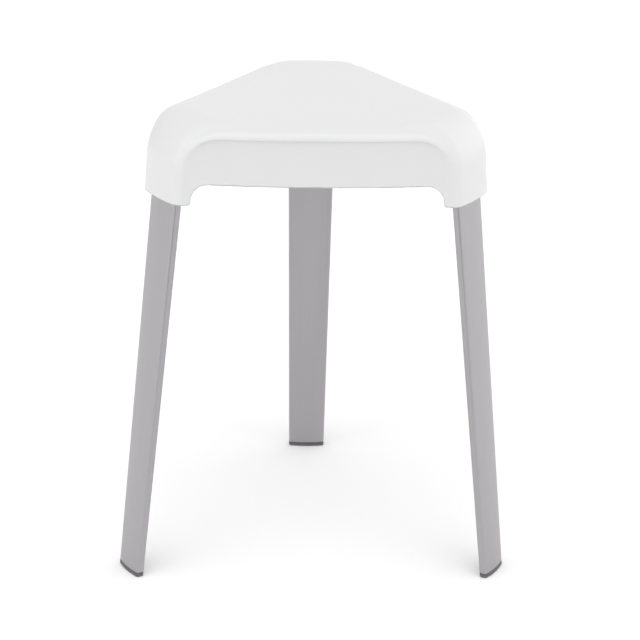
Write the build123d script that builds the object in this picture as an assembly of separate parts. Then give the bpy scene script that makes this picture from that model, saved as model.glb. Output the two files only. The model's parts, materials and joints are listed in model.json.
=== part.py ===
from build123d import *
from math import atan, degrees, sqrt
import os

# Three-legged shower stool: a one-piece moulded seat on three flat metal legs.
# Driving dimensions, in millimetres and degrees.
RIM_Z = 383.0             # lowest edge of the seat, at its three corner skirts
APRON_Z = 402.0           # lower edge of the three aprons between the skirts
DISH_Z = 457.6            # top surface at the middle of the seat
DISH_RADIUS = 3000.0      # hollow of the seat: the radius of its shallow bowl
SHOULDER = 26.0           # rounding from the top down to the sides
WALL = 3.0                # moulded wall
CORNER_REACH = 172.5      # middle of the seat to each corner's face, at the rim
CUT_WIDTH = 63.0          # width of that face, between the two long sides
CUT_BOW = 2.0             # how far the corner's face swells out
SIDE_BOW = 3.7            # how far each long side swells out
CORNER_RADIUS = 21.0      # plan rounding where a corner's face meets a long side, at the rim
CORNER_GROWTH = 0.22      # how much that rounding grows per millimetre of height
ARCH_HALF = 119.0         # half the length of the opening under an apron
ARCH_RADIUS = 15.0        # rounding at both ends of that opening

FOOT_REACH = 207.0        # middle of the stool to each leg's middle, at the floor
SPLAY = 0.112             # how far a leg leans in per millimetre of height
LEG_FOOT_WIDTH = 38.5
LEG_TOP_WIDTH = 49.8
LEG_SIDE = 7.0            # thickness along the leg's narrow sides
LEG_CROWN = 2.1           # how far each broad face swells out
LEG_EDGE = 2.4            # rounding of the section's four corners
LEG_WALL = 1.5
LEG_TOP_Z = 430.0         # along the leg, from the floor to its upper end
SOLE_Z = 5.0              # visible height of the rubber foot below the metal
SOLE_EDGE = 1.2           # rounding of the foot where it meets the floor
FOOT_TAIL = 26.0          # length of the foot's plug inside the leg
FOOT_OVERLAP = 1.0        # how far that plug starts below the top of the sole
PLUG_LENGTH = 46.0        # length of the plug in the leg's upper end

SOCKET_WALL = 3.0
SOCKET_GAP = 0.3          # play between the leg and its socket
SOCKET_Z = 389.0          # lower end of the socket, just inside the rim
PLAY = 0.1                # play of the plug and of the foot inside the leg
RIB_WALL = 2.5
RIB_DEPTH = 14.0
HUB_RADIUS = 34.0         # ring of rib at the middle of the seat
ARM_LENGTH = 135.0        # each rib from the hub outwards, ending in the corner's wall
TIE_REACH = 62.0          # middle of the seat to the ribs that join the sockets
TIE_LENGTH = 276.0        # each of those ribs, with its ends inside the sockets' walls

SCREW_HEIGHTS = (399.0, 418.0)    # along the leg
SCREW_RADIUS = 2.45
SCREW_HOLE = 2.75
HEAD_RADIUS = 4.75
HEAD_HEIGHT = 3.4
DRIVE_RADIUS = 1.9        # across the corners of the hexagon drive
DRIVE_DEPTH = 2.0
HEAD_EDGE = 1.2           # rounding of the screw head
WASHER_RADIUS = 6.0
WASHER_HEIGHT = 1.0
INSERT_RADIUS = 3.4
INSERT_LENGTH = 6.0
INSERT_SET = 0.15         # how far the inserts sit below the plug's face
THREAD_GAP = 0.05         # play of the screw in its insert
THREAD_SPARE = 0.5        # how far the screw stops short of the insert's end

# Stock that the cuts trim away
ROOM = 600.0              # side of a block larger than the stool
OVERCUT = 1.0             # how far a cutter runs past the face it opens
ARCH_CUT = 40.0           # the arch's cutter, to each side of the apron
ARCH_BELOW = 20.0         # and below the rim
SOCKET_STOCK = (30.0, 120.0, 30.0)    # the socket's block: outwards, up the leg, and below its lower end
RIB_STOCK = 60.0          # height of a rib, up through the seat's top
LEG_BELOW = 40.0          # the leg's bar, below the floor
PLUG_STOCK = 80.0         # side of the block that cuts the plug off
SCREW_CUT = 14.0          # length of the hole through the socket's inner wall

CORNERS = {"back": 90.0, "left": 210.0, "right": 330.0}

LEG_HALF = LEG_SIDE / 2 + LEG_CROWN     # middle of the leg to the crown of a face
LEAN = degrees(atan(SPLAY))


def turned(shape, azimuth):
    """Carries a shape made for the +X corner to the corner at this azimuth."""
    return Rot(0, 0, azimuth) * shape


def along_leg(shape):
    """Carries a shape from the leg's own frame, foot at the origin and leg up +Z, to the +X corner."""
    return Pos(FOOT_REACH, 0, 0) * Rot(0, -LEAN, 0) * shape


# The seat

def seat_plan(z, inset):
    """Plan of the seat at height z: a triangle with cut corners and bowed sides, moved in by inset."""
    reach = CORNER_REACH - SPLAY * (z - RIM_Z) - inset
    half = (CUT_WIDTH - 2 * inset / sqrt(3)) / 2
    edges = []
    for azimuth in CORNERS.values():
        near = Vector(reach, -half).rotate(Axis.Z, azimuth)
        far = Vector(reach, half).rotate(Axis.Z, azimuth)
        swell = Vector(reach + CUT_BOW, 0).rotate(Axis.Z, azimuth)
        edges.append(ThreePointArc(near, swell, far))
        onward = Vector(reach, -half).rotate(Axis.Z, azimuth + 120)
        middle = (far + onward) / 2
        edges.append(ThreePointArc(far, middle + middle.normalized() * SIDE_BOW, onward))
    plan = make_face(edges)
    plan = fillet(plan.vertices(), CORNER_RADIUS + CORNER_GROWTH * (z - RIM_Z) - inset)
    return Pos(0, 0, z) * plan


def seat_solid(inset):
    """The seat as a full block, moved in by inset on its top and sides."""
    block = loft([seat_plan(RIM_Z, inset), seat_plan(DISH_Z + 2 * SHOULDER, inset)], ruled=True)
    bowl = Pos(0, 0, DISH_Z - inset + DISH_RADIUS) * Sphere(DISH_RADIUS)
    block -= bowl
    block = block.solids().sort_by(Axis.Z)[0]
    crest = block.faces().filter_by(GeomType.SPHERE).edges()
    return fillet(crest, SHOULDER - inset)


def apron_opening():
    """The long arch under one apron, made for the side opposite the +X corner."""
    height = APRON_Z - RIM_Z + ARCH_BELOW
    profile = Rectangle(2 * ARCH_HALF, height)
    profile = fillet(profile.vertices().group_by(Axis.Y)[-1], ARCH_RADIUS)
    cutter = extrude(Rot(90, 0, 0) * profile, amount=ARCH_CUT, both=True)
    side = CORNER_REACH / 2 + CUT_WIDTH * sqrt(3) / 4
    return Rot(0, 0, 90) * Pos(0, side, APRON_Z - height / 2) * cutter


def socket_block():
    """The socket's outside, before the leg's pocket is taken out of it."""
    wide = LEG_TOP_WIDTH + 2 * (SOCKET_GAP + SOCKET_WALL)
    deep = LEG_HALF + SOCKET_GAP + SOCKET_WALL
    outwards, tall, below = SOCKET_STOCK
    block = Box(deep + outwards, wide, tall, align=(Align.MIN, Align.CENTER, Align.MIN))
    return above(along_leg(Pos(-deep, 0, SOCKET_Z - below) * block), SOCKET_Z)


def seat_ribs():
    """Ribs under the seat: a hub, an arm to each socket, and ties from socket to socket."""
    low = DISH_Z - WALL - RIB_DEPTH
    ribs = Cylinder(HUB_RADIUS, RIB_STOCK) - Cylinder(HUB_RADIUS - RIB_WALL, RIB_STOCK)
    arm = Box(ARM_LENGTH, RIB_WALL, RIB_STOCK, align=(Align.MIN, Align.CENTER, Align.CENTER))
    arm = Pos(HUB_RADIUS - RIB_WALL / 2, 0, 0) * arm
    tie = Pos(-TIE_REACH, 0, 0) * Box(RIB_WALL, TIE_LENGTH, RIB_STOCK)
    for azimuth in CORNERS.values():
        ribs += turned(arm, azimuth) + turned(tie, azimuth)
    return Pos(0, 0, low + RIB_STOCK / 2) * ribs


def seat_shell():
    """One moulding: the wall, its ribs and the three sockets, with their pockets and screw holes."""
    shell = seat_solid(0) - seat_solid(WALL)
    for azimuth in CORNERS.values():
        shell -= turned(apron_opening(), azimuth)
    inside = seat_solid(WALL / 2)
    shell += seat_ribs() & inside
    for azimuth in CORNERS.values():
        shell += turned(socket_block(), azimuth) & inside
    for azimuth in CORNERS.values():
        shell -= turned(along_leg(leg_blank(SOCKET_GAP, LEG_TOP_Z + SOCKET_GAP)), azimuth)
        for height in SCREW_HEIGHTS:
            hole = Pos(-LEG_HALF, 0, height) * Rot(0, 90, 0) * Cylinder(SCREW_HOLE, SCREW_CUT)
            shell -= turned(along_leg(hole), azimuth)
    return shell


# The legs

def leg_section(z, grow):
    """Section of the leg at z along it: two crowned broad faces and two narrow sides."""
    width = LEG_FOOT_WIDTH + (LEG_TOP_WIDTH - LEG_FOOT_WIDTH) * z / LEG_TOP_Z + 2 * grow
    side = LEG_SIDE / 2 + grow
    crown = side + LEG_CROWN
    edges = [
        ThreePointArc((side, -width / 2), (crown, 0), (side, width / 2)),
        Line((side, width / 2), (-side, width / 2)),
        ThreePointArc((-side, width / 2), (-crown, 0), (-side, -width / 2)),
        Line((-side, -width / 2), (side, -width / 2)),
    ]
    section = make_face(edges)
    return Pos(0, 0, z) * fillet(section.vertices(), LEG_EDGE + grow)


def leg_blank(grow, top):
    """The leg's outside as a full bar from below the floor up to top, in the leg's own frame."""
    return loft([leg_section(-LEG_BELOW, grow), leg_section(top, grow)], ruled=True)


def room_above(z):
    """All the room above the level z."""
    return Pos(0, 0, z) * Box(ROOM, ROOM, ROOM, align=(Align.CENTER, Align.CENTER, Align.MIN))


def above(shape, z):
    """The part of a shape that lies above the level z."""
    return shape & room_above(z)


def leg_tube():
    """One leg: a flat, slightly tapered tube, cut level at the foot."""
    tube = leg_blank(0, LEG_TOP_Z) - leg_blank(-LEG_WALL, LEG_TOP_Z + OVERCUT)
    for height in SCREW_HEIGHTS:
        tube -= Pos(-LEG_HALF, 0, height) * Rot(0, 90, 0) * Cylinder(SCREW_HOLE, LEG_HALF)
    return above(along_leg(tube), SOLE_Z)


def rubber_foot():
    """The foot: a sole as wide as the leg, and a plug that fills the leg's lower end."""
    sole = above(along_leg(leg_blank(0, SOLE_Z + FOOT_TAIL)), 0)
    sole -= room_above(SOLE_Z)
    sole = fillet(sole.faces().sort_by(Axis.Z)[0].edges(), SOLE_EDGE)
    tail = leg_blank(-LEG_WALL - PLAY, SOLE_Z + FOOT_TAIL)
    return sole + above(along_leg(tail), SOLE_Z - FOOT_OVERLAP)


def leg_top_plug():
    """The block in the leg's upper end, which holds two threaded inserts."""
    plug = leg_blank(-LEG_WALL - PLAY, LEG_TOP_Z)
    plug &= Pos(0, 0, LEG_TOP_Z) * Box(PLUG_STOCK, PLUG_STOCK, 2 * PLUG_LENGTH)
    for height in SCREW_HEIGHTS:
        bore = cylinder_up(INSERT_RADIUS, INSERT_LENGTH + OVERCUT)
        plug -= Pos(insert_face() - OVERCUT, 0, height) * Rot(0, 90, 0) * bore
    return along_leg(plug)


def cylinder_up(radius, length):
    return Cylinder(radius, length, align=(Align.CENTER, Align.CENTER, Align.MIN))


def insert_face():
    """Where the inserts start across the leg: the plug's inner face, seen from the seat's middle."""
    return -LEG_HALF + LEG_WALL + PLAY + INSERT_SET


def threaded_inserts():
    """Two brass inserts in the plug, one for each screw."""
    inserts = []
    for height in SCREW_HEIGHTS:
        ring = cylinder_up(INSERT_RADIUS, INSERT_LENGTH)
        ring -= cylinder_up(SCREW_RADIUS + THREAD_GAP, INSERT_LENGTH)
        inserts.append(along_leg(Pos(insert_face(), 0, height) * Rot(0, 90, 0) * ring))
    return Compound(inserts)


def leg_washers():
    """Two washers between the socket's wall and the screw heads."""
    washers = []
    seat = -(LEG_HALF + SOCKET_GAP + SOCKET_WALL)
    for height in SCREW_HEIGHTS:
        ring = cylinder_up(WASHER_RADIUS, WASHER_HEIGHT) - cylinder_up(SCREW_HOLE, WASHER_HEIGHT)
        washers.append(along_leg(Pos(seat - WASHER_HEIGHT, 0, height) * Rot(0, 90, 0) * ring))
    return Compound(washers)


def leg_screws():
    """Two socket-head screws, from the seat's middle out into the inserts."""
    screws = []
    seat = -(LEG_HALF + SOCKET_GAP + SOCKET_WALL + WASHER_HEIGHT)
    shank = insert_face() + INSERT_LENGTH - THREAD_SPARE - seat
    for height in SCREW_HEIGHTS:
        head = cylinder_up(HEAD_RADIUS, HEAD_HEIGHT)
        head = fillet(head.faces().sort_by(Axis.Z)[0].edges(), HEAD_EDGE)
        drive = extrude(RegularPolygon(DRIVE_RADIUS, 6), amount=DRIVE_DEPTH)
        screw = Pos(0, 0, -HEAD_HEIGHT) * (head - drive) + cylinder_up(SCREW_RADIUS, shank)
        screws.append(along_leg(Pos(seat, 0, height) * Rot(0, 90, 0) * screw))
    return Compound(screws)


def build():
    """Every node at its place, about the stool's three-fold axis."""
    nodes = {"seat_shell": seat_shell()}
    per_leg = {
        "leg_tube": leg_tube(),
        "rubber_foot": rubber_foot(),
        "leg_top_plug": leg_top_plug(),
        "threaded_inserts": threaded_inserts(),
        "leg_washers": leg_washers(),
        "leg_screws": leg_screws(),
    }
    for corner, azimuth in CORNERS.items():
        for name, shape in per_leg.items():
            nodes[f"{name}_{corner}"] = turned(shape, azimuth)
    return nodes


def main():
    nodes = build()
    boxes = [shape.bounding_box() for shape in nodes.values()]
    low = [min(tuple(box.min)[i] for box in boxes) for i in range(3)]
    high = [max(tuple(box.max)[i] for box in boxes) for i in range(3)]
    centre = Pos(-(low[0] + high[0]) / 2, -(low[1] + high[1]) / 2, 0)
    os.makedirs("parts", exist_ok=True)
    for name, shape in nodes.items():
        export_step(centre * shape, f"parts/{name}.step")
    print("box", [round(v, 2) for v in low], [round(v, 2) for v in high])


main()
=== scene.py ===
import bmesh
import bpy
import json
from math import atan, atan2, cos, exp, hypot, pi, radians, sin, sqrt
from mathutils import Matrix, Vector
from mathutils.bvhtree import BVHTree


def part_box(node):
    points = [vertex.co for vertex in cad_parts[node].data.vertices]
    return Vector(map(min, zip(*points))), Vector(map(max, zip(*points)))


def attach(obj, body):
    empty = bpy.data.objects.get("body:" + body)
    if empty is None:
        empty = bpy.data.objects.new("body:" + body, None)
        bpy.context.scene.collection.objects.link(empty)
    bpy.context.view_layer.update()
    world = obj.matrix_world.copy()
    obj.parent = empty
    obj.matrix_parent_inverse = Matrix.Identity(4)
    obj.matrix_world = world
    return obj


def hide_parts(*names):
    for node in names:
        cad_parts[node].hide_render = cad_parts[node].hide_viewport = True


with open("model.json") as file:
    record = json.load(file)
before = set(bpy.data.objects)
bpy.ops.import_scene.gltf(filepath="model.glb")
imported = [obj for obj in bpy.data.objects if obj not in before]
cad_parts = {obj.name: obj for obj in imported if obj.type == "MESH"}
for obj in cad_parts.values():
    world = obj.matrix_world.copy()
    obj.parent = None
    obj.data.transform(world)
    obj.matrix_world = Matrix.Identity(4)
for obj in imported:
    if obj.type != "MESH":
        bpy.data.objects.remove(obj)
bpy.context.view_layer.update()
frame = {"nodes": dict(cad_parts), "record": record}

MM = 0.001

# Where the frame puts the stool, in mm: its three-fold axis, and the seat's lowest and highest points
FEET = {m["name"]: Vector(m["pos_m"]) / MM for m in frame["record"]["mounts"]}
AXIS = sum(FEET.values(), Vector()) / len(FEET)
AZIMUTHS = {"back": 90.0, "left": 210.0, "right": 330.0}
CREST_GAP = 0.1             # how far the top stays under the highest point of the CAD seat
RIM_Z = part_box("seat_shell")[0].z / MM
CREST_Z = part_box("seat_shell")[1].z / MM - CREST_GAP

# The seat, in mm. A plan is (reach, cut width, corner radius, side bow, cut bow).
RIM_PLAN = (172.35, 63.15, 14.0, 3.7, 3.0)
CREST_PLAN = (125.6, 72.0, 23.8, 6.4, 1.8)
BOWL_RISE = 2.55e-4         # the top is a shallow bowl: its rise per mm squared away from the middle
FALL_START = 40.0           # how far from the middle the top starts to fall away to a long side
SIDE_FALL = 7.0e-4          # its fall per mm squared beyond that
FALL_ENDS = (50.0, 110.0)   # where that fall fades out, along the side from its middle
WALL = 3.0
RIM_ROUND = 0.8             # rounding of the moulding's cut edges
SIDE_FLARE = 0.05           # lean of the aprons per mm of height
CORNER_FLARE = 0.079        # lean of the corners per mm of height
FOLD_RADIUS = 6.0           # tight bend from an apron up to the top
FOLD_TURN = radians(64)     # how far that bend turns
FOLD_EASE = 26.0            # gentler bend that finishes the turn
SIDE_ROUND = 10.5           # height of the rounding along the long sides
CORNER_ROUND = 44.0         # height of the rounding at the corners
FOLD_START = 86.0           # where the fold turns down, along a long side from its middle
FOLD_RUN = 48.0             # how long it takes to turn down
TURN_START_POWER = 3.2      # how gently it starts to turn down
TURN_END_POWER = 1.3        # how gently it stops
APRON_Z = 402.6             # lower edge of an apron at its ends
APRON_SAG = 1.4             # how much lower it is at its middle
ARCH_HALF = 119.0           # half the width of the arch under an apron
ARCH_RADIUS = 15.0
SKIRT_RADIUS = 2.0          # rounding of a skirt's lower inner corner
RECESS_HALF = 126.0         # half the length of the sunk panel in an apron
RECESS_TOP = 450.0
RECESS_RADIUS = 30.0
RECESS_DEPTH = 3.4
RECESS_REACH = 4.2          # how fast the panel sinks away from its edge
RECESS_SOFT = 2.5           # softness of that edge
EDGE_PULL = 4.0             # how far the wall runs square to its lower edge
FOLD_PULL = 0.35            # share of the wall's height over which it comes up straight to the fold

# How many steps the seat's surface has
APRON_STEPS = 22            # along half an apron's lower edge
ARCH_STEPS = 12             # round the corner of its arch
SKIRT_STEPS = 4             # round a skirt's lower inner corner
CUT_STEPS = 30              # along a skirt's lower edge to the middle of the cut face
WALL_STEPS = 24             # up the wall
ROUNDING_STEPS = 20         # over the rounding
DISH_STEPS = 14             # from the crest to the middle

# The legs as the frame has them, in mm
FOOT_REACH = (FEET["foot_back"] - AXIS).length
SPLAY = 0.112               # how far a leg leans in per mm of height
LEG_FOOT_WIDTH = 38.5
LEG_TOP_WIDTH = 49.8
LEG_TOP_Z = 430.0
LEG_SIDE = 7.0              # thickness along its edges
LEG_CROWN = 2.1             # how much further each face swells out

# Ribs and sockets under the seat, in mm
RIB_WALL = 2.5
RIB_DRAFT = 0.25            # how much thinner each side of a rib is at its lower edge
RIB_LOW = 440.6
HUB_RADIUS = 32.75
HUB_STEPS = 72
ARM_STEPS = 16
TIE_REACH = 62.0            # from the axis to a tie
TIE_HALF = 137.5
TIE_STEPS = 32
SOCKET_WALL = 3.0
SOCKET_THINNING = 0.5       # how much thinner a socket's outward wall is
SOCKET_GAP = 0.3            # play round the leg
SOCKET_Z = 389.0            # lower edge
SOCKET_CORNER = 3.0
POCKET_CORNER = 1.0
CORNER_STEPS = 4            # round a corner of a socket's plan
FACE_STEPS = 8              # across its crowned face
INTO_WALL = 1.5             # how deep ribs and sockets run into the moulded wall
RAY_START = 50.0            # how far over the crest the search for the seat's top starts
HALVINGS = 24               # of the span in which a socket's wall meets the top
EDGE_ROUND = 0.5            # rounding of the ribs' and sockets' edges
EDGE_SEGMENTS = 2
EDGE_ANGLE = radians(40)    # edges sharper than this are rounded
SAME_PLACE = 1e-6           # points nearer to each other than this are one, in metres

# The camera: its place in mm from the foot of the stool's axis
CAMERA_PLACE = Vector((-55.0, -2190.0, 1056.0))
CAMERA_YAW = radians(1.63)
CAMERA_PITCH = radians(20.72)
CAMERA_ROLL = radians(-0.93)
CAMERA_LENS = 131.2
SENSOR = 36.0

# The studio's cards, in metres: a white floor and a dark flag held above it
FLOOR_HALF = 6.0
FLOOR_TONE = 0.97
FLAG_AWAY = 1.15
FLAG_HALF = 0.4
FLAG_LEVELS = (0.14, 0.46)
FLAG_TONE = 0.05
CARD_ROUGHNESS = 0.9

# The studio's light. A soft box is its azimuth, elevation and half angle in degrees, and its strength.
# A negative strength dims the studio in that direction.
HORIZON_LIGHT = 1.05
ZENITH_LIGHT = 0.74
SOFT_BOXES = (
    (270.0, 55.0, 48.0, 1.17),
    (270.0, 15.0, 45.0, -0.15),
    (198.0, 12.0, 50.0, 0.42),
    (-12.0, -5.0, 50.0, 0.25),
    (35.0, 0.0, 45.0, 0.6),
    (140.0, 0.0, 45.0, -0.5),
)

# Dust on the feet, in metres above the floor
DUST_HEIGHT = 0.0035


# ---- Helpers

def mix(a, b, share):
    return a + (b - a) * share


def clamp01(value):
    return min(1.0, max(0.0, value))


def turned(point, azimuth):
    """Carries a point in mm from the +X corner's frame to the corner at this azimuth, in metres."""
    a = radians(azimuth)
    x = point[0] * cos(a) - point[1] * sin(a)
    y = point[0] * sin(a) + point[1] * cos(a)
    return Vector((x + AXIS.x, y + AXIS.y, point[2])) * MM


def new_piece(name, points, faces, mat):
    """A mesh object that stands for part of the seat."""
    mesh = bpy.data.meshes.new(name)
    mesh.from_pydata(points, [], faces)
    mesh.validate()
    tidy = bmesh.new()
    tidy.from_mesh(mesh)
    bmesh.ops.remove_doubles(tidy, verts=tidy.verts, dist=SAME_PLACE)
    bmesh.ops.recalc_face_normals(tidy, faces=tidy.faces)
    tidy.to_mesh(mesh)
    tidy.free()
    mesh.polygons.foreach_set("use_smooth", [True] * len(mesh.polygons))
    piece = bpy.data.objects.new(name, mesh)
    bpy.context.scene.collection.objects.link(piece)
    mesh.materials.append(mat)
    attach(piece, "root")
    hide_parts("seat_shell")
    return piece


def round_edges(piece):
    bevel = piece.modifiers.new("round_edges", "BEVEL")
    bevel.width = EDGE_ROUND * MM
    bevel.segments = EDGE_SEGMENTS
    bevel.limit_method = "ANGLE"
    bevel.angle_limit = EDGE_ANGLE


# ---- The seat's plan: three tangent arcs, from the middle of a long side to the middle of a cut face

def plan_arcs(reach, cut, radius, side_bow, cut_bow):
    """Three arcs as (centre x, centre y, radius, start angle, end angle), in the +X corner's frame."""
    side_half = reach * sin(pi / 3) - cut / 4
    side_away = reach / 2 + cut / 2 * sin(pi / 3) + side_bow
    side_radius = (side_half ** 2 + side_bow ** 2) / (2 * side_bow)
    cut_radius = ((cut / 2) ** 2 + cut_bow ** 2) / (2 * cut_bow)
    side = Vector((cos(pi / 3), sin(pi / 3))) * (side_away - side_radius)
    face = Vector((reach + cut_bow - cut_radius, 0))
    gap = face - side
    squares = (side_radius - radius) ** 2 - (cut_radius - radius) ** 2
    along = (squares + gap.length_squared) / (2 * gap.length)
    across = sqrt(max(0.0, (side_radius - radius) ** 2 - along ** 2))
    step = gap.normalized()
    left = Vector((-step.y, step.x)) * across
    foot = side + step * along
    corner = max((foot + left, foot - left), key=lambda p: p.x + p.y)
    first = atan2(corner.y - side.y, corner.x - side.x)
    second = atan2(corner.y - face.y, corner.x - face.x)
    return (
        (side.x, side.y, side_radius, pi / 3, first),
        (corner.x, corner.y, radius, first, second),
        (face.x, face.y, cut_radius, second, 0.0),
    )


def on_plan(arcs, share):
    """The point at share 0 to 3 along the arcs, and the way out of the seat there."""
    which = min(2, int(share))
    x, y, radius, start, end = arcs[which]
    angle = mix(start, end, share - which)
    way = Vector((cos(angle), sin(angle)))
    return Vector((x, y)) + way * radius, way


RIM_ARCS = plan_arcs(*RIM_PLAN)
CREST_ARCS = plan_arcs(*CREST_PLAN)
# The crest's furthest point from the axis, looked for at every tenth of an arc
CORNER_CREST = max(on_plan(CREST_ARCS, 0.1 * i)[0].length for i in range(31))
DISH_Z = CREST_Z - BOWL_RISE * CORNER_CREST ** 2
ARC_LENGTHS = [abs(end - start) * radius for _, _, radius, start, end in RIM_ARCS]
HALF_LENGTH = sum(ARC_LENGTHS)


def share_at(run):
    """The share 0 to 3 at a distance along the rim from the middle of a long side."""
    for which, length in enumerate(ARC_LENGTHS):
        if run <= length or which == 2:
            return which + min(1.0, run / length)
        run -= length


# ---- The seat's outer surface

def corner_share(run):
    """0 along the long sides, rising to 1 where the fold has turned down into the corner's edge."""
    x = clamp01((run - FOLD_START) / FOLD_RUN)
    return 1 - (1 - x ** TURN_START_POWER) ** TURN_END_POWER


def bowl_height(x, y):
    """The top's height at a plan point: a shallow bowl that falls away a little to its long sides."""
    to_side = max(x * cos(a) + y * sin(a) for a in (-pi / 3, pi / 3, pi))
    along = sqrt(max(0.0, x * x + y * y - to_side ** 2))
    fade = clamp01((along - FALL_ENDS[0]) / (FALL_ENDS[1] - FALL_ENDS[0]))
    fall = SIDE_FALL * max(0.0, to_side - FALL_START) ** 2 * (1 - fade * fade * (3 - 2 * fade))
    return DISH_Z + BOWL_RISE * (x * x + y * y) - fall


def crest_height(run):
    """The height of the bowl's edge."""
    crest, _ = on_plan(CREST_ARCS, share_at(run))
    return bowl_height(crest.x, crest.y)


def fold_height(run):
    """Where the wall ends and the rounding begins."""
    return crest_height(run) - mix(SIDE_ROUND, CORNER_ROUND, corner_share(run))


def recess(run, z):
    """How far an apron's panel is sunk at this place on the wall."""
    over_x = run - (RECESS_HALF - RECESS_RADIUS)
    over_z = z - (RECESS_TOP - RECESS_RADIUS)
    if over_x > 0 and over_z > 0:
        inside = RECESS_RADIUS - hypot(over_x, over_z)
    else:
        inside = min(RECESS_HALF - run, RECESS_TOP - z)
    if inside <= 0:
        return 0.0
    soft = inside ** 2 / (inside + RECESS_SOFT)
    return RECESS_DEPTH * (1 - exp(-soft / RECESS_REACH))


def wall_point(run, z):
    """A point of the outer wall, from the rim up to the fold."""
    share = share_at(run)
    rim, way = on_plan(RIM_ARCS, share)
    crest, _ = on_plan(CREST_ARCS, share)
    lean = mix(SIDE_FLARE, CORNER_FLARE, corner_share(run)) * (z - RIM_Z)
    place = rim + (crest - rim).normalized() * lean - way * recess(run, z)
    return (place.x, place.y, z)


def fold_shape(turn, corner):
    """Shares of the rounding's depth and height where it has turned this far from upright."""
    if turn < FOLD_TURN:
        depth = FOLD_RADIUS * (1 - cos(turn))
        height = FOLD_RADIUS * sin(turn)
    else:
        depth = FOLD_RADIUS * (1 - cos(FOLD_TURN)) + FOLD_EASE * (cos(FOLD_TURN) - cos(turn))
        height = FOLD_RADIUS * sin(FOLD_TURN) + FOLD_EASE * (sin(turn) - sin(FOLD_TURN))
    all_depth = FOLD_RADIUS * (1 - cos(FOLD_TURN)) + FOLD_EASE * cos(FOLD_TURN)
    all_height = FOLD_RADIUS * sin(FOLD_TURN) + FOLD_EASE * (1 - sin(FOLD_TURN))
    depth_share = mix(depth / all_depth, 1 - cos(turn), corner)
    return depth_share, mix(height / all_height, sin(turn), corner)


def rounding_point(run, turn):
    """A point of the rounding, from the fold (turn 0) to the crest (turn a quarter circle)."""
    share = share_at(run)
    rim, _ = on_plan(RIM_ARCS, share)
    crest, _ = on_plan(CREST_ARCS, share)
    corner = corner_share(run)
    low, high = fold_height(run), crest_height(run)
    start = mix(SIDE_FLARE, CORNER_FLARE, corner) * (low - RIM_Z) / (crest - rim).length
    depth, height = fold_shape(turn, corner)
    place = rim + (crest - rim) * mix(start, 1.0, depth)
    return (place.x, place.y, mix(low, high, height))


def dish_point(run, inward):
    """A point of the hollow top: inward is 1 at the crest and 0 at the middle."""
    place = on_plan(CREST_ARCS, share_at(run))[0] * inward
    return (place.x, place.y, bowl_height(place.x, place.y))


def edge_places():
    """The lower edge as (distance along the rim, height, way into the wall), from a side's middle."""
    places = []
    flat = ARCH_HALF - ARCH_RADIUS
    for i in range(APRON_STEPS + 1):
        run = flat * i / APRON_STEPS
        sag = APRON_SAG * (1 - (run / flat) ** 2)
        places.append((run, APRON_Z - sag, (0.0, 1.0)))
    for i in range(1, ARCH_STEPS + 1):
        a = pi / 2 * i / ARCH_STEPS
        run = flat + ARCH_RADIUS * sin(a)
        places.append((run, APRON_Z - ARCH_RADIUS * (1 - cos(a)), (sin(a), cos(a))))
    for i in range(SKIRT_STEPS + 1):
        a = pi / 2 * i / SKIRT_STEPS
        run = ARCH_HALF + SKIRT_RADIUS * (1 - cos(a))
        places.append((run, RIM_Z + SKIRT_RADIUS * (1 - sin(a)), (cos(a), sin(a))))
    start = ARCH_HALF + SKIRT_RADIUS
    for i in range(1, CUT_STEPS + 1):
        places.append((mix(start, HALF_LENGTH, i / CUT_STEPS), RIM_Z, (0.0, 1.0)))
    return places


def wall_column(edge, top_run):
    """Points up to the fold, on a curve that leaves the lower edge square to it and ends upright."""
    run, z, way = edge
    top = fold_height(top_run)
    steer = (top - z) * FOLD_PULL
    points = []
    for i in range(WALL_STEPS + 1):
        g = i / WALL_STEPS
        weights = ((1 - g) ** 3, 3 * g * (1 - g) ** 2, 3 * g * g * (1 - g), g ** 3)
        runs = (run, run + way[0] * EDGE_PULL, top_run, top_run)
        heights = (z, z + way[1] * EDGE_PULL, top - steer, top)
        at_run = sum(w * r for w, r in zip(weights, runs))
        at_z = sum(w * h for w, h in zip(weights, heights))
        points.append(wall_point(at_run, at_z))
    return points


def half_corner_columns():
    """Columns of outer points from the middle of a long side to the middle of the cut face."""
    places = edge_places()
    lengths = [0.0]
    for a, b in zip(places, places[1:]):
        lengths.append(lengths[-1] + hypot(b[0] - a[0], b[1] - a[1]))
    columns = []
    for place, length in zip(places, lengths):
        top_run = HALF_LENGTH * length / lengths[-1]
        column = wall_column(place, top_run)
        for i in range(1, ROUNDING_STEPS + 1):
            column.append(rounding_point(top_run, pi / 2 * i / ROUNDING_STEPS))
        for i in range(1, DISH_STEPS):
            column.append(dish_point(top_run, 1 - i / DISH_STEPS))
        columns.append(column)
    return columns


def seat_columns():
    """Every column around the seat, in metres."""
    half = half_corner_columns()
    around = []
    for azimuth in AZIMUTHS.values():
        mirrored = [[(x, -y, z) for x, y, z in column] for column in half]
        for column in mirrored[:-1]:
            around.append([turned(p, azimuth) for p in column])
        for column in reversed(half[1:]):
            around.append([turned(p, azimuth) for p in column])
    return around


def seat_surface(columns):
    """Points and faces of the seat's outer surface, one open sheet."""
    rows = len(columns[0])
    count = len(columns)
    points = [p for column in columns for p in column]
    faces = []
    for i in range(count):
        here, there = i * rows, (i + 1) % count * rows
        for j in range(rows - 1):
            faces.append((here + j, there + j, there + j + 1, here + j + 1))
    points.append(Vector((AXIS.x * MM, AXIS.y * MM, DISH_Z * MM)))
    for i in range(count):
        faces.append((i * rows + rows - 1, (i + 1) % count * rows + rows - 1, len(points) - 1))
    return points, faces


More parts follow.
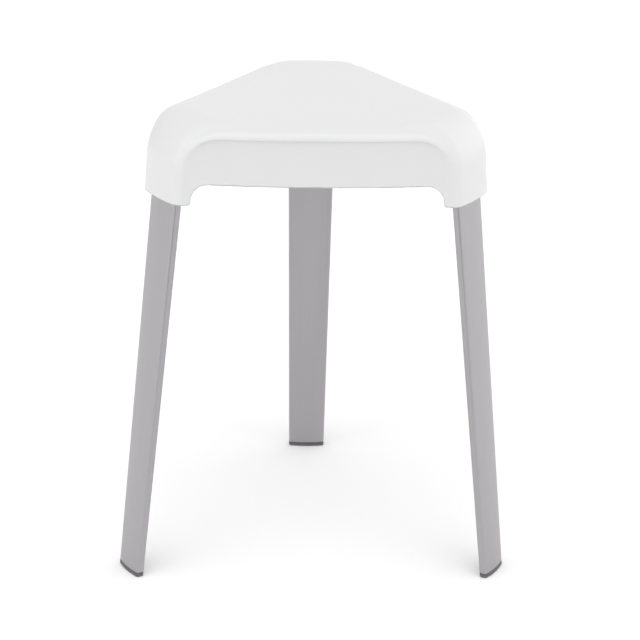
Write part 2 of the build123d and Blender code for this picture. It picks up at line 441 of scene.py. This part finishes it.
def inner_points(points, faces):
    """The outer points carried in through the wall, square to it."""
    sheet = bmesh.new()
    verts = [sheet.verts.new(p) for p in points]
    for face in faces:
        sheet.faces.new([verts[v] for v in face])
    sheet.normal_update()
    way = WALL * MM if verts[-1].normal.z > 0 else -WALL * MM
    inner = [v.co - v.normal * way * v.calc_shell_factor() for v in verts]
    sheet.free()
    return inner


def rounded_rim(outer, inner):
    """Points round the moulding's lower edge, from its outer face to its inner face."""
    across = (inner[0] - outer[0]).normalized()
    up = (outer[1] - outer[0]).normalized()
    full = RIM_ROUND * MM
    part = full * (1 - cos(pi / 4))
    return [
        outer[0] + up * full,
        outer[0] + up * part + across * part,
        outer[0] + across * full,
        inner[0] - across * full,
        inner[0] + up * part - across * part,
        inner[0] + up * full,
    ]


def seat_moulding(columns, mat):
    """The seat's wall: outer face, rounded lower edge and inner face, as one closed skin."""
    outer, faces = seat_surface(columns)
    inner = inner_points(outer, faces)
    count, rows = len(columns), len(columns[0])
    points = []
    for i, outside in enumerate(columns):
        inside = inner[i * rows:(i + 1) * rows]
        points += outside[:0:-1] + rounded_rim(outside, inside) + inside[1:]
    tall = len(points) // count
    skin = []
    for i in range(count):
        here, there = i * tall, (i + 1) % count * tall
        for j in range(tall - 1):
            skin.append((here + j, there + j, there + j + 1, here + j + 1))
        skin.append((here, there, len(points)))
        skin.append((here + tall - 1, there + tall - 1, len(points) + 1))
    points += [outer[-1], inner[-1]]
    new_piece("seat_moulding", points, skin, mat)


# ---- Ribs and sockets

def roof_finder(columns):
    """A function that gives the seat's outer height over a plan point measured from the axis, in mm."""
    tree = BVHTree.FromPolygons(*seat_surface(columns))

    def roof(x, y):
        start = turned((x, y, CREST_Z + RAY_START), 0.0)
        hit = tree.ray_cast(start, Vector((0, 0, -1)))[0]
        return hit.z / MM if hit else RIM_Z

    return roof


def rib_strip(path, closed, roof):
    """A rib along a path of plan points: thinner downwards, and up into the underside of the top."""
    points, faces = [], []
    count = len(path)
    for i, here in enumerate(path):
        before = path[i - 1] if i > 0 or closed else here
        after = path[(i + 1) % count] if i < count - 1 or closed else here
        side = (after - before).normalized()
        side = Vector((-side.y, side.x))
        top = roof(here.x, here.y) - INTO_WALL
        half, low_half = RIB_WALL / 2, RIB_WALL / 2 - RIB_DRAFT
        for offset, z in ((half, top), (low_half, RIB_LOW), (-low_half, RIB_LOW), (-half, top)):
            place = here + side * offset
            points.append((place.x, place.y, z))
    for i in range(count if closed else count - 1):
        a, b = 4 * i, 4 * ((i + 1) % count)
        for j in range(4):
            k = (j + 1) % 4
            faces.append((a + j, a + k, b + k, b + j))
    if not closed:
        faces.append((0, 1, 2, 3))
        faces.append(tuple(4 * (count - 1) + j for j in (3, 2, 1, 0)))
    return points, faces


def seat_ribs(mat, roof):
    """A hub, an arm to each socket and three ties between the sockets."""
    leg_face = FOOT_REACH - SPLAY * RIB_LOW - LEG_SIDE / 2 - LEG_CROWN
    arm_end = leg_face - SOCKET_GAP - SOCKET_WALL + INTO_WALL
    around = [2 * pi * i / HUB_STEPS for i in range(HUB_STEPS)]
    hub = [Vector((cos(a), sin(a))) * HUB_RADIUS for a in around]
    arm = [Vector((mix(HUB_RADIUS, arm_end, i / ARM_STEPS), 0)) for i in range(ARM_STEPS + 1)]
    tie = [Vector((-TIE_REACH, mix(-TIE_HALF, TIE_HALF, i / TIE_STEPS))) for i in range(TIE_STEPS + 1)]
    strips = [(rib_strip(hub, True, roof), 0.0)]
    for azimuth in AZIMUTHS.values():
        for path in (arm, tie):
            strip = rib_strip(path, False, lambda x, y: roof_turned(roof, x, y, azimuth))
            strips.append((strip, azimuth))
    points, faces = [], []
    for (strip_points, strip_faces), azimuth in strips:
        start = len(points)
        points += [turned(p, azimuth) for p in strip_points]
        faces += [tuple(start + v for v in face) for face in strip_faces]
    round_edges(new_piece("seat_ribs", points, faces, mat))


def roof_turned(roof, x, y, azimuth):
    """The roof over a point given in the frame of the corner at this azimuth."""
    a = radians(azimuth)
    return roof(x * cos(a) - y * sin(a), x * sin(a) + y * cos(a))


def rounded_box(half_in, half_out, half_wide, radius, crown):
    """A closed plan: flat towards the seat's middle, crowned outwards, with rounded corners."""
    plan = []
    for sx, sy, turn in ((1, -1, -0.5), (1, 1, 0.0), (-1, 1, 0.5), (-1, -1, 1.0)):
        half = half_out if sx > 0 else half_in
        for i in range(CORNER_STEPS + 1):
            a = pi * (turn + i / (2 * CORNER_STEPS))
            x = sx * (half - radius) + radius * cos(a)
            y = sy * (half_wide - radius) + radius * sin(a)
            plan.append((x, y))
        if sx > 0 and sy < 0:
            straight = half_wide - radius
            plan += [(half, mix(-straight, straight, i / FACE_STEPS)) for i in range(1, FACE_STEPS)]
    return [(x + crown * (1 - (y / half_wide) ** 2) if x > 0 else x, y) for x, y in plan]


def leg_pocket(z):
    """Inside plan of a socket at height z: the leg's section and its play."""
    wide = mix(LEG_FOOT_WIDTH, LEG_TOP_WIDTH, z / LEG_TOP_Z) / 2 + SOCKET_GAP
    side = LEG_SIDE / 2 + SOCKET_GAP
    plan = rounded_box(side, side, wide, POCKET_CORNER, LEG_CROWN)
    return [(x - LEG_CROWN * (1 - (y / wide) ** 2) if x < 0 else x, y) for x, y in plan]


def socket_outside(z):
    """Outside plan of a socket at height z."""
    wide = mix(LEG_FOOT_WIDTH, LEG_TOP_WIDTH, z / LEG_TOP_Z) / 2 + SOCKET_GAP + SOCKET_WALL
    deep = LEG_SIDE / 2 + LEG_CROWN + SOCKET_GAP + SOCKET_WALL
    thin = LEG_SIDE / 2 + SOCKET_GAP + SOCKET_WALL - SOCKET_THINNING
    return rounded_box(deep, thin, wide, SOCKET_CORNER, LEG_CROWN)


def leaned(place, z):
    """A point given across the leg, carried to where the leg is at height z."""
    return (FOOT_REACH - SPLAY * z + place[0], place[1], z)


def under_roof(place, azimuth, roof):
    """Where a line along the leg meets the underside of the seat."""
    low, high = SOCKET_Z, CREST_Z
    for _ in range(HALVINGS):
        z = (low + high) / 2
        x, y, _ = leaned(place, z)
        if roof_turned(roof, x, y, azimuth) - INTO_WALL > z:
            low = z
        else:
            high = z
    return leaned(place, low)


def leg_socket(corner, azimuth, mat, roof):
    """The pocket that a leg stands in: a wall round it, closed over the leg's end, up to the top."""
    pocket_top = LEG_TOP_Z + SOCKET_GAP
    outside = socket_outside(SOCKET_Z)
    rings = [
        [leaned(p, pocket_top) for p in leg_pocket(pocket_top)],
        [leaned(p, SOCKET_Z) for p in leg_pocket(SOCKET_Z)],
        [leaned(p, SOCKET_Z) for p in outside],
        [under_roof(p, azimuth, roof) for p in socket_outside(pocket_top)],
    ]
    count = len(outside)
    points = [turned(p, azimuth) for ring in rings for p in ring]
    faces = [tuple(range(count)), tuple(range(3 * count, 4 * count))[::-1]]
    for ring in range(3):
        for i in range(count):
            a, b = ring * count + i, ring * count + (i + 1) % count
            faces.append((a, b, b + count, a + count))
    round_edges(new_piece(f"leg_socket_{corner}", points, faces, mat))


# ---- Materials

def principled(name, colour, roughness, metallic=0.0):
    mat = bpy.data.materials.new(name)
    mat.use_nodes = True
    shader = mat.node_tree.nodes["Principled BSDF"]
    shader.inputs["Base Color"].default_value = (*colour, 1)
    shader.inputs["Roughness"].default_value = roughness
    shader.inputs["Metallic"].default_value = metallic
    return mat, shader


def node(mat, kind, **inputs):
    """A node of this kind, with values for some of its inputs."""
    made = mat.node_tree.nodes.new(kind)
    for key, value in inputs.items():
        made.inputs[key.replace("_", " ")].default_value = value
    return made


def join(mat, source, target):
    mat.node_tree.links.new(source, target)


def noise(mat, vector, scale, detail=2.0, roughness=0.5):
    made = node(mat, "ShaderNodeTexNoise", Scale=scale, Detail=detail, Roughness=roughness)
    join(mat, vector, made.inputs["Vector"])
    return made.outputs["Fac"]


def spread(mat, value, low, high, from_low=0.3, from_high=0.7):
    """Maps a noise onto a range of values."""
    limits = {"From_Min": from_low, "From_Max": from_high, "To_Min": low, "To_Max": high}
    made = node(mat, "ShaderNodeMapRange", **limits)
    join(mat, value, made.inputs["Value"])
    return made.outputs["Result"]


def tint(mat, factor, first, second):
    made = node(mat, "ShaderNodeMix")
    made.data_type = "RGBA"
    colours = [s for s in made.inputs if s.type == "RGBA"]
    colours[0].default_value = (*first, 1)
    colours[1].default_value = (*second, 1)
    join(mat, factor, made.inputs["Factor"])
    return [s for s in made.outputs if s.type == "RGBA"][0]


def bump(mat, shader, height, distance, strength=1.0, after=None):
    made = node(mat, "ShaderNodeBump", Distance=distance, Strength=strength)
    join(mat, height, made.inputs["Height"])
    if after:
        join(mat, after, made.inputs["Normal"])
    join(mat, made.outputs["Normal"], shader.inputs["Normal"])
    return made.outputs["Normal"]


def colour_by(mat, shader, factor, first, second):
    """Lets a factor choose the base colour between two colours."""
    join(mat, tint(mat, factor, first, second), shader.inputs["Base Color"])


def roughness_by(mat, shader, factor, low, high):
    join(mat, spread(mat, factor, low, high), shader.inputs["Roughness"])


def mapped(mat, vector, rotation=(0, 0, 0), scale=(1, 1, 1)):
    made = node(mat, "ShaderNodeMapping", Rotation=rotation, Scale=scale)
    join(mat, vector, made.inputs["Vector"])
    return made.outputs["Vector"]


def object_place(mat):
    return node(mat, "ShaderNodeTexCoord").outputs["Object"]


def seat_plastic():
    """White polypropylene with a fine moulded grain and a faint unevenness from cooling."""
    mat, shader = principled("seat_plastic", (0.69, 0.69, 0.695), 0.32)
    shader.inputs["IOR"].default_value = 1.49
    shader.inputs["Specular IOR Level"].default_value = 0.5
    place = object_place(mat)
    cloud = noise(mat, place, scale=14.0, detail=3.0)
    colour_by(mat, shader, cloud, (0.685, 0.685, 0.691), (0.695, 0.695, 0.70))
    roughness_by(mat, shader, noise(mat, place, scale=160.0, detail=3.0), 0.29, 0.36)
    grain = bump(mat, shader, noise(mat, place, scale=2200.0), distance=0.00002, strength=0.6)
    waves = noise(mat, place, scale=22.0, detail=1.0)
    bump(mat, shader, waves, distance=0.0002, strength=0.25, after=grain)
    return mat


def leg_metal(corner, azimuth):
    """Satin anodised aluminium with drawing lines along the leg."""
    mat, shader = principled(f"leg_metal_{corner}", (0.5, 0.47, 0.49), 0.36, 1.0)
    face_on = mapped(mat, object_place(mat), rotation=(0, 0, -radians(azimuth)))
    upright = mapped(mat, face_on, rotation=(0, atan(SPLAY), 0))
    drawn = mapped(mat, upright, scale=(1, 1, 0.012))
    lines = noise(mat, drawn, scale=1500.0, detail=3.0)
    bands = noise(mat, drawn, scale=260.0)
    colour_by(mat, shader, bands, (0.400, 0.387, 0.402), (0.412, 0.398, 0.414))
    roughness_by(mat, shader, lines, 0.33, 0.43)
    bump(mat, shader, lines, distance=0.000006, strength=0.5)
    return mat


def foot_rubber():
    """Dark grey rubber, dusty towards the floor."""
    mat, shader = principled("foot_rubber", (0.1, 0.1, 0.102), 0.62)
    place = object_place(mat)
    height = node(mat, "ShaderNodeSeparateXYZ")
    join(mat, place, height.inputs["Vector"])
    low = spread(mat, height.outputs["Z"], 1.0, 0.0, from_low=0.0, from_high=DUST_HEIGHT)
    speckle = noise(mat, place, scale=700.0, detail=3.0)
    dust = node(mat, "ShaderNodeMath")
    dust.operation = "MULTIPLY"
    join(mat, low, dust.inputs[0])
    join(mat, speckle, dust.inputs[1])
    colour_by(mat, shader, dust.outputs["Value"], (0.095, 0.095, 0.098), (0.2, 0.198, 0.195))
    roughness_by(mat, shader, speckle, 0.55, 0.72)
    bump(mat, shader, noise(mat, place, scale=1800.0), distance=0.00003, strength=0.6)
    return mat


def plug_plastic():
    """Black nylon with a dull moulded face."""
    mat, shader = principled("plug_plastic", (0.02, 0.02, 0.021), 0.5)
    place = object_place(mat)
    cloud = noise(mat, place, scale=90.0, detail=3.0)
    colour_by(mat, shader, cloud, (0.016, 0.016, 0.017), (0.03, 0.03, 0.031))
    roughness_by(mat, shader, cloud, 0.42, 0.6)
    bump(mat, shader, noise(mat, place, scale=1600.0), distance=0.00003, strength=0.5)
    return mat


def turned_metal(name, dark, light, rough):
    """Turned or rolled metal with fine machining marks."""
    mat, shader = principled(name, light, rough, 1.0)
    place = object_place(mat)
    marks = noise(mat, place, scale=2400.0, detail=3.0)
    patches = noise(mat, place, scale=300.0)
    colour_by(mat, shader, patches, dark, light)
    roughness_by(mat, shader, marks, rough - 0.06, rough + 0.08)
    bump(mat, shader, marks, distance=0.000008, strength=0.5)
    return mat


def dress(node_name, mat):
    """Gives a CAD node its material."""
    slots = frame["nodes"][node_name].material_slots
    if slots:
        for slot in slots:
            slot.material = mat
    else:
        frame["nodes"][node_name].data.materials.append(mat)


def dress_all():
    rubber = foot_rubber()
    plug = plug_plastic()
    brass = turned_metal("insert_brass", (0.62, 0.45, 0.19), (0.72, 0.54, 0.25), 0.3)
    steel = turned_metal("fastener_steel", (0.52, 0.52, 0.53), (0.62, 0.62, 0.63), 0.28)
    for corner, azimuth in AZIMUTHS.items():
        dress(f"leg_tube_{corner}", leg_metal(corner, azimuth))
        dress(f"rubber_foot_{corner}", rubber)
        dress(f"leg_top_plug_{corner}", plug)
        dress(f"threaded_inserts_{corner}", brass)
        dress(f"leg_washers_{corner}", steel)
        dress(f"leg_screws_{corner}", steel)


# ---- Camera, floor and light

def add_camera():
    """A long lens a little above the seat, turned by yaw, then pitch, then roll."""
    level = cos(CAMERA_PITCH)
    ahead = Vector((sin(CAMERA_YAW) * level, cos(CAMERA_YAW) * level, -sin(CAMERA_PITCH)))
    right = Vector((cos(CAMERA_YAW), -sin(CAMERA_YAW), 0))
    down = ahead.cross(right)
    tilted_right = right * cos(CAMERA_ROLL) + down * sin(CAMERA_ROLL)
    tilted_down = down * cos(CAMERA_ROLL) - right * sin(CAMERA_ROLL)
    data = bpy.data.cameras.new("camera")
    data.lens = CAMERA_LENS
    data.sensor_width = SENSOR
    camera = bpy.data.objects.new("camera", data)
    bpy.context.scene.collection.objects.link(camera)
    turn = Matrix((tilted_right, -tilted_down, -ahead)).transposed()
    place = (CAMERA_PLACE + AXIS) * MM
    camera.matrix_world = Matrix.Translation(place) @ turn.to_4x4()
    bpy.context.scene.camera = camera


def add_card(name, outline, tone):
    """A flat matt card of the studio."""
    mesh = bpy.data.meshes.new(name)
    mesh.from_pydata(outline, [], [(0, 1, 2, 3)])
    card = bpy.data.objects.new(name, mesh)
    bpy.context.scene.collection.objects.link(card)
    mat, shader = principled(f"{name}_card", (tone, tone, tone), CARD_ROUGHNESS)
    shader.inputs["Specular IOR Level"].default_value = 0.0
    mesh.materials.append(mat)
    return card


def add_floor():
    far = FLOOR_HALF
    add_card("floor", [(-far, -far, 0), (far, -far, 0), (far, far, 0), (-far, far, 0)], FLOOR_TONE)


def add_flag():
    """A dark card that the camera doesn't see: the legs' rounded edges reflect it as a dark line."""
    wide, away, (low, high) = FLAG_HALF, FLAG_AWAY, FLAG_LEVELS
    outline = [(-wide, -away, low), (wide, -away, low), (wide, -away, high), (-wide, -away, high)]
    flag = add_card("flag", outline, FLAG_TONE)
    flag.visible_camera = False


def add_world():
    """A white studio: light from all round, softly stronger or weaker in a few directions."""
    world = bpy.data.worlds.new("studio")
    bpy.context.scene.world = world
    world.use_nodes = True
    way = node(world, "ShaderNodeTexCoord").outputs["Generated"]
    height = node(world, "ShaderNodeSeparateXYZ")
    join(world, way, height.inputs["Vector"])
    light = spread(world, height.outputs["Z"], HORIZON_LIGHT, ZENITH_LIGHT, from_low=0.0, from_high=1.0)
    for box in SOFT_BOXES:
        light = total(world, light, soft_box(world, way, *box))
    back = world.node_tree.nodes["Background"]
    back.inputs["Color"].default_value = (1, 1, 1, 1)
    join(world, light, back.inputs["Strength"])


def soft_box(world, way, azimuth, elevation, half_angle, strength):
    """Extra light round one direction, fading out smoothly to nothing at half_angle."""
    a, e = radians(azimuth), radians(elevation)
    near = node(world, "ShaderNodeVectorMath")
    near.operation = "DOT_PRODUCT"
    near.inputs[1].default_value = (cos(a) * cos(e), sin(a) * cos(e), sin(e))
    join(world, way, near.inputs[0])
    lit = spread(world, near.outputs["Value"], 0.0, strength, cos(radians(half_angle)), 1.0)
    lit.node.interpolation_type = "SMOOTHSTEP"
    return lit


def total(world, first, second):
    made = node(world, "ShaderNodeMath")
    join(world, first, made.inputs[0])
    join(world, second, made.inputs[1])
    return made.outputs["Value"]


# ---- The stool in its studio

plastic = seat_plastic()
all_columns = seat_columns()
seat_moulding(all_columns, plastic)
roof_over = roof_finder(all_columns)
seat_ribs(plastic, roof_over)
for corner_name, corner_azimuth in AZIMUTHS.items():
    leg_socket(corner_name, corner_azimuth, plastic, roof_over)
dress_all()
add_world()
bpy.context.scene.view_settings.view_transform = "Standard"
add_camera()
add_floor()
add_flag()
